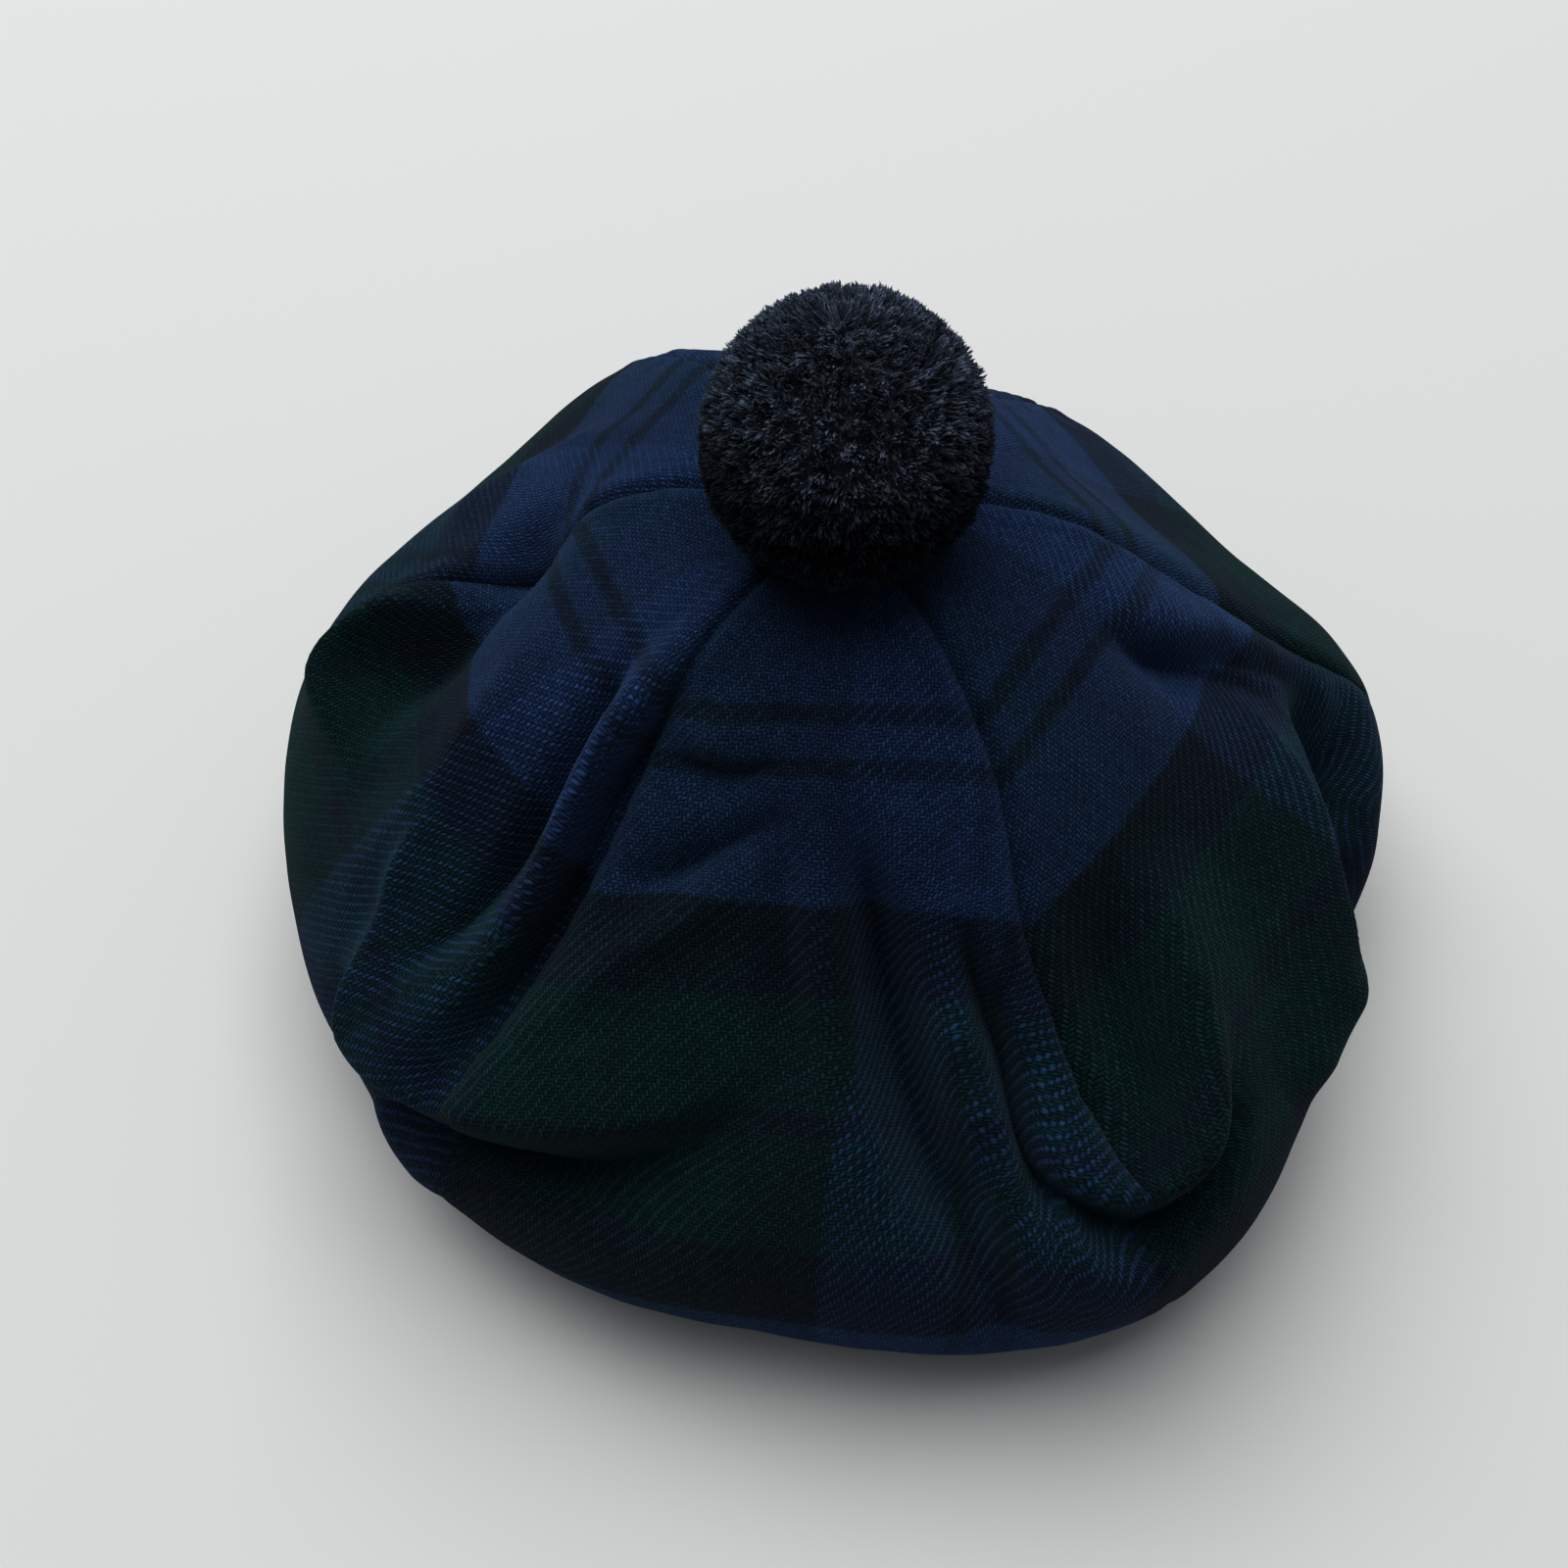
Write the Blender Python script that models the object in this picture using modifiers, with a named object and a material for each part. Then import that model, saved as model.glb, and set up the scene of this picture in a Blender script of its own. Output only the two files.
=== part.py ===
"""A tam o' shanter: six cloth gores sewn to a headband, with a yarn pompom on the apex.

Metres, +Z up. The hat rests on its headband at z = 0 with its front toward -Y.
Left and right are those of someone who faces its front.
"""

import math
import random
from collections import namedtuple

import bmesh
import bpy
import numpy as np
from mathutils import Vector

OBJECT = "tam_o_shanter"

# Driving dimensions
CLOTH = 0.0018  # wall of the woven wool
GAP = 0.0003  # clearance between pieces that are sewn or laid together
BAND_CENTRE = (0.0, 0.0043, 0.0)  # puts the whole hat's plan centre on the origin
BAND_RADIUS = 0.092  # outside of the headband
BAND_HEIGHT = 0.030
BAND_WALL = 0.0022
BAND_SIDES = 40
APEX = np.array((0.0, 0.018, 0.125))  # where the gores meet, from the band's centre
APEX_HOLE = 0.005  # radius left for the pompom's tie
POMPOM_RADIUS = 0.030
POMPOM_PLAN = (0.0, 0.0066)  # the ball leans forward of the apex
LOCKS_ACROSS = 4  # rows of yarn locks across each of the ball's six sides
LOCK_LENGTH = (0.0022, 0.0044)  # how far the yarn locks stand out of the ball, least and most
LOCK_INSET = 0.0007  # how much a lock narrows on each side
TIE_RADIUS = 0.0042  # yarn tie that holds the ball through the apex
TIE_BELOW_APEX = 0.004
TIE_INTO_BALL = 0.020

# Mesh density
FRONT_COLUMNS = 22  # steps across a gore that the folds cross
BACK_COLUMNS = 6
ROW_STEPS = ((0.20, 2), (0.76, 22), (1.00, 4))  # steps up to this share of the way to the band
PROFILE_STEPS = 32  # steps between two stations of a profile
FOLD_STEPS = 32

# Each gore runs between two seams. Turn is the angle round the cloth, 60 degrees to a gore.
GORES = {
    "gore_back_right": BACK_COLUMNS,
    "gore_back": BACK_COLUMNS,
    "gore_back_left": BACK_COLUMNS,
    "gore_front_left": FRONT_COLUMNS,
    "gore_front": FRONT_COLUMNS,
    "gore_front_right": FRONT_COLUMNS,
}
GORE_TURN = 60.0

# Profiles of the crown, on each seam and halfway across each gore. Azimuth is the direction
# of the rim from the band's centre, top and shoulder are heights a part of the way from the
# apex to the rim, reach is the rim's distance from the band's centre, and under is the lowest
# height of the cloth that curls back to the band.
TOP_AT = 0.27
SHOULDER_AT = 0.64
UNDER_AT = 0.45  # of the way from the band out to the rim
Section = namedtuple("Section", "turn azimuth top shoulder reach rim under")
SECTIONS = (
    (0, 6, 0.126, 0.095, 0.140, 0.042, 0.012),
    (30, 33, 0.125, 0.093, 0.131, 0.042, 0.014),
    (60, 60, 0.126, 0.100, 0.137, 0.042, 0.014),
    (90, 88, 0.126, 0.103, 0.124, 0.042, 0.014),
    (120, 116, 0.128, 0.111, 0.138, 0.042, 0.014),
    (150, 140, 0.127, 0.098, 0.137, 0.042, 0.014),
    (180, 165, 0.126, 0.093, 0.141, 0.042, 0.012),
    (210, 197, 0.124, 0.090, 0.136, 0.038, 0.010),
    (240, 229, 0.125, 0.081, 0.137, 0.034, 0.008),
    (270, 265, 0.123, 0.080, 0.1335, 0.030, 0.007),
    (300, 299, 0.126, 0.082, 0.145, 0.032, 0.008),
    (330, 334, 0.127, 0.095, 0.132, 0.036, 0.010),
)

# Folds of the cloth. A fold's crest runs smoothly through its points, each given as (turn, share
# of the way from apex to band). Height is along the cloth's normal and negative for a hollow,
# left and right are its half widths as one looks along it from outside, and lean moves it
# sideways. A power of 2 makes a round crest, less a sharp one, more a flat one.
Fold = namedtuple("Fold", "crest height left right power lean")
FOLDS = {
    "left_seam_ridge": (((149, 0.19), (153, 0.35), (161, 0.47), (168, 0.53)), 0.005, 0.010, 0.008, 1.6, 0),
    "left_seam_hollow": (((177, 0.22), (181, 0.36), (191, 0.455), (204, 0.53)), -0.013, 0.013, 0.007, 2, 0),
    "left_edge_ridge": (((183, 0.34), (186, 0.48), (192, 0.55), (209, 0.53)), 0.012, 0.003, 0.006, 1.3, 0),
    "left_soft_ridge": (((203, 0.24), (212, 0.38), (215, 0.48), (215, 0.62)), 0.007, 0.009, 0.009, 1.6, 0),
    "corner_ridge": (((216, 0.44), (221, 0.53), (227, 0.59), (233, 0.66)), 0.008, 0.008, 0.003, 1.3, 0),
    "pleat_hollow": (((226, 0.20), (227, 0.32), (229, 0.44), (230, 0.60)), -0.007, 0.003, 0.003, 1.8, 0),
    "left_big_ridge": (((239, 0.14), (234, 0.29), (235, 0.44), (233, 0.68)), 0.009, 0.004, 0.005, 2.4, 0.002),
    "left_big_hollow": (((241, 0.2), (238, 0.34), (239, 0.48), (239, 0.68)), -0.010, 0.004, 0.004, 2, -0.004),
    "slant_ridge": (((242, 0.56), (247, 0.46), (254, 0.40), (263, 0.34)), 0.004, 0.004, 0.004, 1.4, 0),
    "slant_crease": (((267, 0.29), (258, 0.33), (251, 0.37), (242, 0.41)), -0.005, 0.003, 0.004, 1.6, 0),
    "front_dimple": (((241, 0.28), (249, 0.28), (256, 0.27), (264, 0.25)), -0.005, 0.003, 0.005, 1.6, 0),
    "dimple_lip": (((243, 0.26), (250, 0.26), (256, 0.26), (263, 0.24)), 0.002, 0.004, 0.002, 1.8, -0.001),
    "front_overhang": (((220, 0.56), (232, 0.62), (251, 0.57), (270, 0.47)), 0.008, 0.022, 0.005, 2, -0.005),
    "front_under_tuck": (((218, 0.62), (231, 0.68), (250, 0.63), (269, 0.53)), -0.013, 0.003, 0.012, 2, 0),
    "lower_edge_ridge": (((226, 0.70), (234, 0.74), (243, 0.73)), 0.004, 0.005, 0.005, 1.8, 0),
    "front_left_hollow": (((262, 0.27), (266, 0.36), (268, 0.44), (271, 0.54)), -0.006, 0.005, 0.005, 1.8, 0),
    "front_left_pleat": (((268, 0.28), (272, 0.40), (275, 0.55), (284, 0.70)), 0.006, 0.005, 0.012, 2, 0),
    "front_valley": (((274, 0.26), (279, 0.42), (283, 0.56), (288, 0.78)), -0.018, 0.006, 0.006, 2, 0),
    "front_middle_pleat": (((287, 0.42), (286, 0.50), (286, 0.60)), 0.006, 0.004, 0.005, 2, 0),
    "front_right_hollow": (((290, 0.36), (292, 0.46), (292, 0.54), (290, 0.66)), -0.013, 0.003, 0.004, 2, 0),
    "pocket_ridge": (((292, 0.40), (289, 0.58), (297, 0.67), (305, 0.62)), 0.005, 0.004, 0.008, 1.8, 0),
    "pocket_groove": (((291, 0.52), (296, 0.62), (304, 0.62), (311, 0.53)), -0.008, 0.003, 0.004, 2, 0),
    "pocket_tongue": (((290, 0.47), (295, 0.57), (304, 0.58), (312, 0.48)), 0.006, 0.013, 0.004, 2, -0.004),
    "pocket_seam_shift": (((302, 0.25), (301, 0.42), (301, 0.56), (302, 0.72)), 0, 0.012, 0.012, 2, -0.005),
    "upright_ridge": (((317, 0.40), (310, 0.50), (304, 0.58), (296, 0.65)), 0.012, 0.012, 0.004, 1.7, 0),
    "pocket_floor": (((312, 0.36), (306, 0.48), (302, 0.56), (298, 0.60)), -0.006, 0.003, 0.006, 2, 0),
    "right_tuck": (((333, 0.25), (342, 0.33), (351, 0.41), (356, 0.56)), -0.008, 0.003, 0.007, 1.8, 0),
    "right_bank": (((335, 0.23), (345, 0.33), (351, 0.41), (354, 0.54)), 0.006, 0.010, 0.004, 2, -0.002),
    "right_seam_crease": (((362, 0.20), (362, 0.33), (361, 0.43), (359, 0.56)), -0.004, 0.003, 0.004, 1.8, 0),
    "right_side_ridge": (((358, 0.50), (354, 0.56), (348, 0.58)), 0.005, 0.004, 0.004, 1.6, 0),
    "right_crest": (((346, 0.42), (336, 0.53), (329, 0.61), (324, 0.72)), 0.008, 0.004, 0.013, 1.6, 0),
    "right_pocket": (((357, 0.48), (348, 0.59), (340, 0.66), (332, 0.78)), -0.026, 0.009, 0.009, 2, 0),
    "right_low_crest": (((329, 0.64), (322, 0.655), (314, 0.66)), 0.005, 0.006, 0.006, 1.8, 0),
}
NARROWEST_FOLD = 0.0085  # half width of the sharpest fold that the mesh can hold
LEAN_KEPT = 0.7  # share of a fold's lean that it can hold
FOLD_FADE = 0.35  # share of a fold's length over which it rises at each end
BAND_HOLD = 0.15  # share of the cloth beside the band over which the folds die out
CREST_WIDTH = 0.7  # how quickly a fold falls off across its half width


def unit(vectors):
    return vectors / np.maximum(np.linalg.norm(vectors, axis=-1, keepdims=True), 1e-12)


def sections_at(turns):
    """The section columns after turn, as a Catmull-Rom curve through the table's rows."""
    rows = np.array([Section(*row)[1:] for row in SECTIONS], float)
    rows[:, 0] -= [Section(*row).turn for row in SECTIONS]
    place = turns / 360.0 * len(rows)
    first = np.floor(place).astype(int)
    t = (place - first)[:, None]
    a, b, c, d = (rows[(first + k) % len(rows)] for k in (-1, 0, 1, 2))
    curve = b + 0.5 * t * (c - a + t * (2 * a - 5 * b + 4 * c - d + t * (3 * (b - c) + d - a)))
    curve[:, 0] += turns
    return curve.T


def hermite(start, end, leave, arrive):
    t = np.linspace(0, 1, PROFILE_STEPS)[None, :, None]
    start, end, leave, arrive = (p[:, None] for p in (start, end, leave, arrive))
    falling = 2 * t**3 - 3 * t**2 + 1
    return (
        falling * start
        + (1 - falling) * end
        + (t**3 - 2 * t**2 + t) * leave
        + (t**3 - t**2) * arrive
    )


def profiles(turns):
    """The unfolded crown from apex to band at each turn: points, and the length up to each."""
    azimuth, top, shoulder, reach, rim, under = sections_at(turns)
    azimuth = np.radians(azimuth)
    out = np.stack([np.cos(azimuth), np.sin(azimuth), 0 * azimuth], -1)
    up = np.array((0.0, 0.0, 1.0))
    foot = APEX * (1, 1, 0)
    rim_plan = out * reach[:, None]
    cloth_end = BAND_RADIUS + GAP
    turned_out = cloth_end + UNDER_AT * (reach - cloth_end)
    stations = [
        APEX + 0 * out,
        foot + (rim_plan - foot) * TOP_AT + up * top[:, None],
        foot + (rim_plan - foot) * SHOULDER_AT + up * shoulder[:, None],
        rim_plan + up * rim[:, None],
        out * turned_out[:, None] + up * under[:, None],
        out * cloth_end + up * (BAND_HEIGHT - CLOTH),
    ]
    chords = [stations[k + 1] - stations[k] for k in range(5)]
    lengths = [np.linalg.norm(chord, axis=1)[:, None] for chord in chords]
    heading = [unit(rim_plan - foot)]
    for k in range(4):
        turning = chords[k] / lengths[k] * lengths[k + 1] + chords[k + 1] / lengths[k + 1] * lengths[k]
        heading.append(turning / (lengths[k] + lengths[k + 1]))
    heading[3] = -up + 0 * out
    heading.append(-out)
    pull = (1.0, 1.0, 1.25, 1.25, 1.0)  # fuller curves beside the rim
    pieces = []
    for k in range(5):
        size = lengths[k] * pull[k]
        curve = hermite(stations[k], stations[k + 1], heading[k] * size, heading[k + 1] * size)
        pieces.append(curve if k == 0 else curve[:, 1:])
    points = np.concatenate(pieces, axis=1)
    steps = np.linalg.norm(np.diff(points, axis=1), axis=2)
    return points, np.pad(np.cumsum(steps, axis=1), ((0, 0), (1, 0)))


def smooth_crown(turns, shares):
    """Points of the unfolded crown: one row for each turn, with that row's shares along it."""
    points, lengths = profiles(turns)
    rows = []
    for line, length, share in zip(points, lengths, shares):
        place = share * length[-1]
        rows.append(np.stack([np.interp(place, length, line[:, axis]) for axis in range(3)], -1))
    return np.array(rows)


def crown_normals(grid):
    across = np.roll(grid, -1, axis=0) - np.roll(grid, 1, axis=0)
    return unit(np.cross(np.gradient(grid, axis=1), across))


def curve_through(points, t):
    """A Catmull-Rom curve through the points, with t from 0 to 1 along it."""
    points = np.array(points, float)
    ends = 2 * points[0] - points[1], 2 * points[-1] - points[-2]
    points = np.vstack([ends[0], points, ends[1]])
    place = np.clip(t * (len(points) - 3), 0, len(points) - 3 - 1e-9)
    first = place.astype(int)
    t = (place - first)[:, None]
    a, b, c, d = (points[first + k] for k in range(4))
    return b + 0.5 * t * (c - a + t * (2 * a - 5 * b + 4 * c - d + t * (3 * (b - c) + d - a)))


def fold_crest(points):
    """Points along a fold's crest on the unfolded crown, and how far along it each one is."""
    t = np.linspace(0, 1, FOLD_STEPS)
    turn, share = curve_through(points, t).T
    return smooth_crown(turn, share[:, None])[:, 0], t


def rise(t, length=FOLD_FADE):
    t = np.clip(t / length, 0, 1)
    return t * t * (3 - 2 * t)


def fold_push(points, normals, fold):
    """How one fold moves each point of the unfolded crown."""
    fold = Fold(*fold)
    crest, along = fold_crest(fold.crest)
    nearest = np.full(len(points), np.inf)
    place = np.zeros(len(points))
    offset = np.zeros_like(points)
    ahead = np.zeros_like(points)
    for k in range(FOLD_STEPS - 1):
        step = crest[k + 1] - crest[k]
        share = np.clip((points - crest[k]) @ step / (step @ step), 0, 1)
        away = points - crest[k] - share[:, None] * step
        distance = np.linalg.norm(away, axis=1)
        closer = distance < nearest
        nearest[closer] = distance[closer]
        place[closer] = (along[k] + share * (along[k + 1] - along[k]))[closer]
        offset[closer] = away[closer]
        ahead[closer] = step / np.linalg.norm(step)
    side = unit(np.cross(normals, ahead))
    asked = np.array((fold.left, fold.right))
    held = np.maximum(asked, NARROWEST_FOLD)
    height = fold.height * math.sqrt(asked.sum() / held.sum())  # what is widened is made lower
    width = np.where((offset * side).sum(1) > 0, *held)
    strength = np.exp(-CREST_WIDTH * (nearest / width) ** fold.power) * rise(place) * rise(1 - place)
    return strength[:, None] * (height * normals + LEAN_KEPT * fold.lean * side)


def crown_grid(turns):
    """The folded crown's middle surface and its normals, one row of points for each turn."""
    _, lengths = profiles(turns)
    first = APEX_HOLE / lengths[:, -1:]
    stops = [0.0]
    for share, steps in ROW_STEPS:
        stops.extend(np.linspace(stops[-1], share, steps + 1)[1:])
    shares = first + (1 - first) * np.array(stops)
    grid = smooth_crown(turns, shares)
    normals = crown_normals(grid)
    flat_points = grid.reshape(-1, 3)
    flat_normals = normals.reshape(-1, 3)
    pushes = sum(fold_push(flat_points, flat_normals, fold) for fold in FOLDS.values())
    folded = grid + pushes.reshape(grid.shape) * rise(1 - shares, BAND_HOLD)[..., None]
    normals = crown_normals(folded)
    normals[:, -1] = (0, 0, -1)  # the cloth's end stands square to the band
    return folded, normals


def seam_shift(grid, column):
    """Half the gap, across the seam in this column and square to it."""
    across = unit(grid[(column + 1) % len(grid)] - grid[column - 1])
    along = unit(np.gradient(grid[column], axis=0))
    across = across - (across * along).sum(1)[:, None] * along
    return unit(across) * GAP / 2


def cloth_material(name, colour, roughness):
    material = bpy.data.materials.new(name)
    material.use_nodes = True
    shader = material.node_tree.nodes["Principled BSDF"]
    shader.inputs["Base Color"].default_value = (*colour, 1)
    shader.inputs["Roughness"].default_value = roughness
    shader.inputs["Metallic"].default_value = 0
    return material


def collection_named(name):
    collection = bpy.data.collections.new(name)
    bpy.context.scene.collection.children.link(collection)
    return collection


def object_from(bm, name, collection, material=None):
    mesh = bpy.data.meshes.new(name)
    bm.to_mesh(mesh)
    bm.free()
    if material:
        mesh.materials.append(material)
        mesh.shade_smooth()
        mesh.set_sharp_from_angle(angle=math.radians(50))
    part = bpy.data.objects.new(name, mesh)
    part.location = BAND_CENTRE
    collection.objects.link(part)
    return part


def gore(name, outer, inner, collection):
    """One gore: a grid laid on the outer face, extruded, with the copy laid on the inner face."""
    columns, rows = outer.shape[0] - 1, outer.shape[1] - 1
    bm = bmesh.new()
    bmesh.ops.create_grid(bm, x_segments=columns, y_segments=rows, size=0.5)
    made = bmesh.ops.extrude_face_region(bm, geom=bm.faces[:], use_keep_orig=True)
    extruded = {item for item in made["geom"] if isinstance(item, bmesh.types.BMVert)}
    for vert in bm.verts:
        column = round((vert.co.x + 0.5) * columns)
        row = round((vert.co.y + 0.5) * rows)
        vert.co = (inner if vert in extruded else outer)[column, row]
    # The facing sides of two gores are cut into triangles the same way, so they stay apart.
    bmesh.ops.triangulate(bm, faces=bm.faces[:], quad_method="SHORT_EDGE")
    material = cloth_material(name + " tartan wool", (0.012, 0.030, 0.040), 0.9)
    return object_from(bm, name, collection, material)


def gores(grid, normals, collection):
    outer = grid + normals * CLOTH / 2
    inner = grid - normals * CLOTH / 2
    first = 0
    for name, columns in GORES.items():
        last = first + columns
        take = [column % len(grid) for column in range(first, last + 1)]
        faces = outer[take], inner[take]
        for face in faces:
            face[0] += seam_shift(grid, take[0])
            face[-1] -= seam_shift(grid, take[-1])
        gore(name, *faces, collection)
        first = last


def headband(collection):
    """A plain hoop, turned from its section."""
    bm = bmesh.new()
    inside = BAND_RADIUS - BAND_WALL
    corners = ((BAND_RADIUS, BAND_HEIGHT), (BAND_RADIUS, 0), (inside, 0), (inside, BAND_HEIGHT))
    verts = [bm.verts.new((x, 0, z)) for x, z in corners]
    for k in range(4):
        bm.edges.new((verts[k], verts[(k + 1) % 4]))
    material = cloth_material("headband wool", (0.010, 0.014, 0.022), 0.9)
    band = object_from(bm, "headband", collection, material)
    screw = band.modifiers.new("turn", "SCREW")
    screw.steps = BAND_SIDES
    screw.render_steps = BAND_SIDES
    screw.use_merge_vertices = True
    screw.merge_threshold = 0.0001
    return band


def ball_height(crown):
    """Height of the ball's centre where it just clears the crown below it."""
    plan = np.hypot(crown[..., 0] - POMPOM_PLAN[0], crown[..., 1] - POMPOM_PLAN[1])
    below = plan < POMPOM_RADIUS
    return (crown[below][:, 2] + np.sqrt(POMPOM_RADIUS**2 - plan[below] ** 2)).max() + GAP


def pompom(height, collection, cutters):
    """A ball of yarn locks at this height, with its tie through the apex."""
    draw = random.Random(3)
    bm = bmesh.new()
    bmesh.ops.create_cube(bm, size=1)
    bmesh.ops.subdivide_edges(bm, edges=bm.edges[:], cuts=LOCKS_ACROSS - 1, use_grid_fill=True)
    for vert in bm.verts:
        # Even out the steps before the cube is blown up to a ball.
        corner = Vector([math.tan(math.pi / 2 * along) for along in vert.co])
        vert.co = corner.normalized() * (POMPOM_RADIUS - LOCK_LENGTH[1])
    for face in bm.faces[:]:
        bmesh.ops.inset_individual(
            bm, faces=[face], thickness=LOCK_INSET, depth=draw.uniform(*LOCK_LENGTH)
        )
    bmesh.ops.translate(bm, verts=bm.verts[:], vec=(*POMPOM_PLAN, height))
    ball = object_from(bm, "pompom", collection, cloth_material("pompom yarn", (0.012,) * 3, 0.95))
    bottom = APEX[2] - TIE_BELOW_APEX
    top = height - POMPOM_RADIUS + TIE_INTO_BALL
    bm = bmesh.new()
    made = bmesh.ops.create_cone(
        bm, cap_ends=True, segments=12, radius1=TIE_RADIUS, radius2=TIE_RADIUS, depth=top - bottom
    )
    bmesh.ops.translate(bm, verts=made["verts"], vec=(APEX[0], APEX[1], (top + bottom) / 2))
    tie = object_from(bm, "pompom_tie", cutters)
    tie.hide_render = True
    tie.display_type = "WIRE"
    union = ball.modifiers.new("tie", "BOOLEAN")
    union.operation = "UNION"
    union.object = tie
    return ball


def build():
    for old in list(bpy.data.objects):
        bpy.data.objects.remove(old)
    parts = collection_named(OBJECT)
    cutters = collection_named(OBJECT + "_cutters")
    turns = np.concatenate(
        [GORE_TURN * (k + np.arange(n) / n) for k, n in enumerate(GORES.values())]
    )
    grid, normals = crown_grid(turns)
    gores(grid, normals, parts)
    headband(parts)
    pompom(ball_height(grid + normals * CLOTH / 2), parts, cutters)


build()
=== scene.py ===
"""A tam o' shanter: six gores of tartan wool on a dark headband, with a yarn pompom on the apex.

Metres, +Z up, front toward -Y. The hat lies on a pale floor, as a crown that nobody wears
settles into folds round its band.
"""

import math
import random
from collections import namedtuple

import bmesh
import bpy
import numpy as np
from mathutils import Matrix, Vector, noise


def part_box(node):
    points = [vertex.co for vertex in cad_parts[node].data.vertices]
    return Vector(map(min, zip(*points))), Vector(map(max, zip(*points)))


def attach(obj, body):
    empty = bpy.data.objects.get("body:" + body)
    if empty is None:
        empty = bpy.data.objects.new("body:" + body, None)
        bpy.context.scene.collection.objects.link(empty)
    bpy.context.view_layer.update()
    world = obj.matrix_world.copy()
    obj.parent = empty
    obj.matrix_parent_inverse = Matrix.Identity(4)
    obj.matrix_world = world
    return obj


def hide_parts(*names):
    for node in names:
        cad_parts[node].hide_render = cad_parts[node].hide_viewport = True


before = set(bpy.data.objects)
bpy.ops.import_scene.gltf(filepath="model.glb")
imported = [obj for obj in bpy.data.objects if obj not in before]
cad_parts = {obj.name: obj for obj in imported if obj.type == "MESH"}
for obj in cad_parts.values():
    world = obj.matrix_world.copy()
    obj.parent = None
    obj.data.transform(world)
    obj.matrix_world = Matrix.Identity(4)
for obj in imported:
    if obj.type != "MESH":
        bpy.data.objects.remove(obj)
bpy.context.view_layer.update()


# The crown: six gores of tartan wool twill, sewn edge to edge and gathered onto the headband.
# It is larger than the band it hangs from, so its cloth turns over the rim and sinks into folds.
CLOTH = 0.0018  # thickness
GAP = 0.0003  # between the crown and the headband
SEAM_GAP = 0.00003  # between two gores, so narrow that no light shows through a seam
BAND_CENTRE = (0.0, 0.0043, 0.0)  # the crown is drawn round the headband's centre
BAND_RADIUS = 0.092
BAND_HEIGHT = 0.030
APEX = np.array((0.0, 0.018, 0.125))
APEX_HOLE = 0.005  # for the pompom's tie

# Steps of the cloth's mesh across each gore. Turn is the angle round the cloth, 60 to a gore.
GORES = {
    "gore_back_right": 88,
    "gore_back": 88,
    "gore_back_left": 88,
    "gore_front_left": 160,
    "gore_front": 160,
    "gore_front_right": 160,
}
GORE_TURN = 60.0
ROW_STEPS = ((0.10, 14), (0.76, 150), (1.00, 26))  # steps up to this share of the way to the band
PROFILE_STEPS = 96

# Profiles of the crown on each seam and halfway across each gore, as in the part: azimuth of
# the rim, heights at the top and shoulder, the rim's reach and height, and the lowest height of
# the cloth that curls back to the band.
TOP_AT = 0.27  # share of the way out from apex to rim at which the top's height is taken
SHOULDER_AT = 0.64  # and the shoulder's
UNDER_AT = 0.45  # share of the way out from band to rim at which the cloth hangs lowest
RIM_FULLER = 1.25  # how much fuller than the other curves those beside the rim are
Section = namedtuple("Section", "turn azimuth top shoulder reach rim under")
SECTIONS = (
    (0, 6, 0.126, 0.095, 0.140, 0.042, 0.012),
    (30, 33, 0.125, 0.093, 0.131, 0.042, 0.014),
    (60, 60, 0.126, 0.100, 0.137, 0.042, 0.014),
    (90, 88, 0.126, 0.103, 0.124, 0.042, 0.014),
    (120, 116, 0.128, 0.111, 0.138, 0.042, 0.014),
    (150, 140, 0.127, 0.098, 0.137, 0.042, 0.014),
    (180, 165, 0.126, 0.093, 0.141, 0.042, 0.012),
    (210, 197, 0.124, 0.090, 0.136, 0.038, 0.010),
    (240, 229, 0.125, 0.081, 0.137, 0.034, 0.008),
    (270, 265, 0.123, 0.080, 0.1335, 0.030, 0.007),
    (300, 299, 0.126, 0.082, 0.145, 0.032, 0.008),
    (330, 334, 0.127, 0.095, 0.132, 0.036, 0.010),
)

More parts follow.
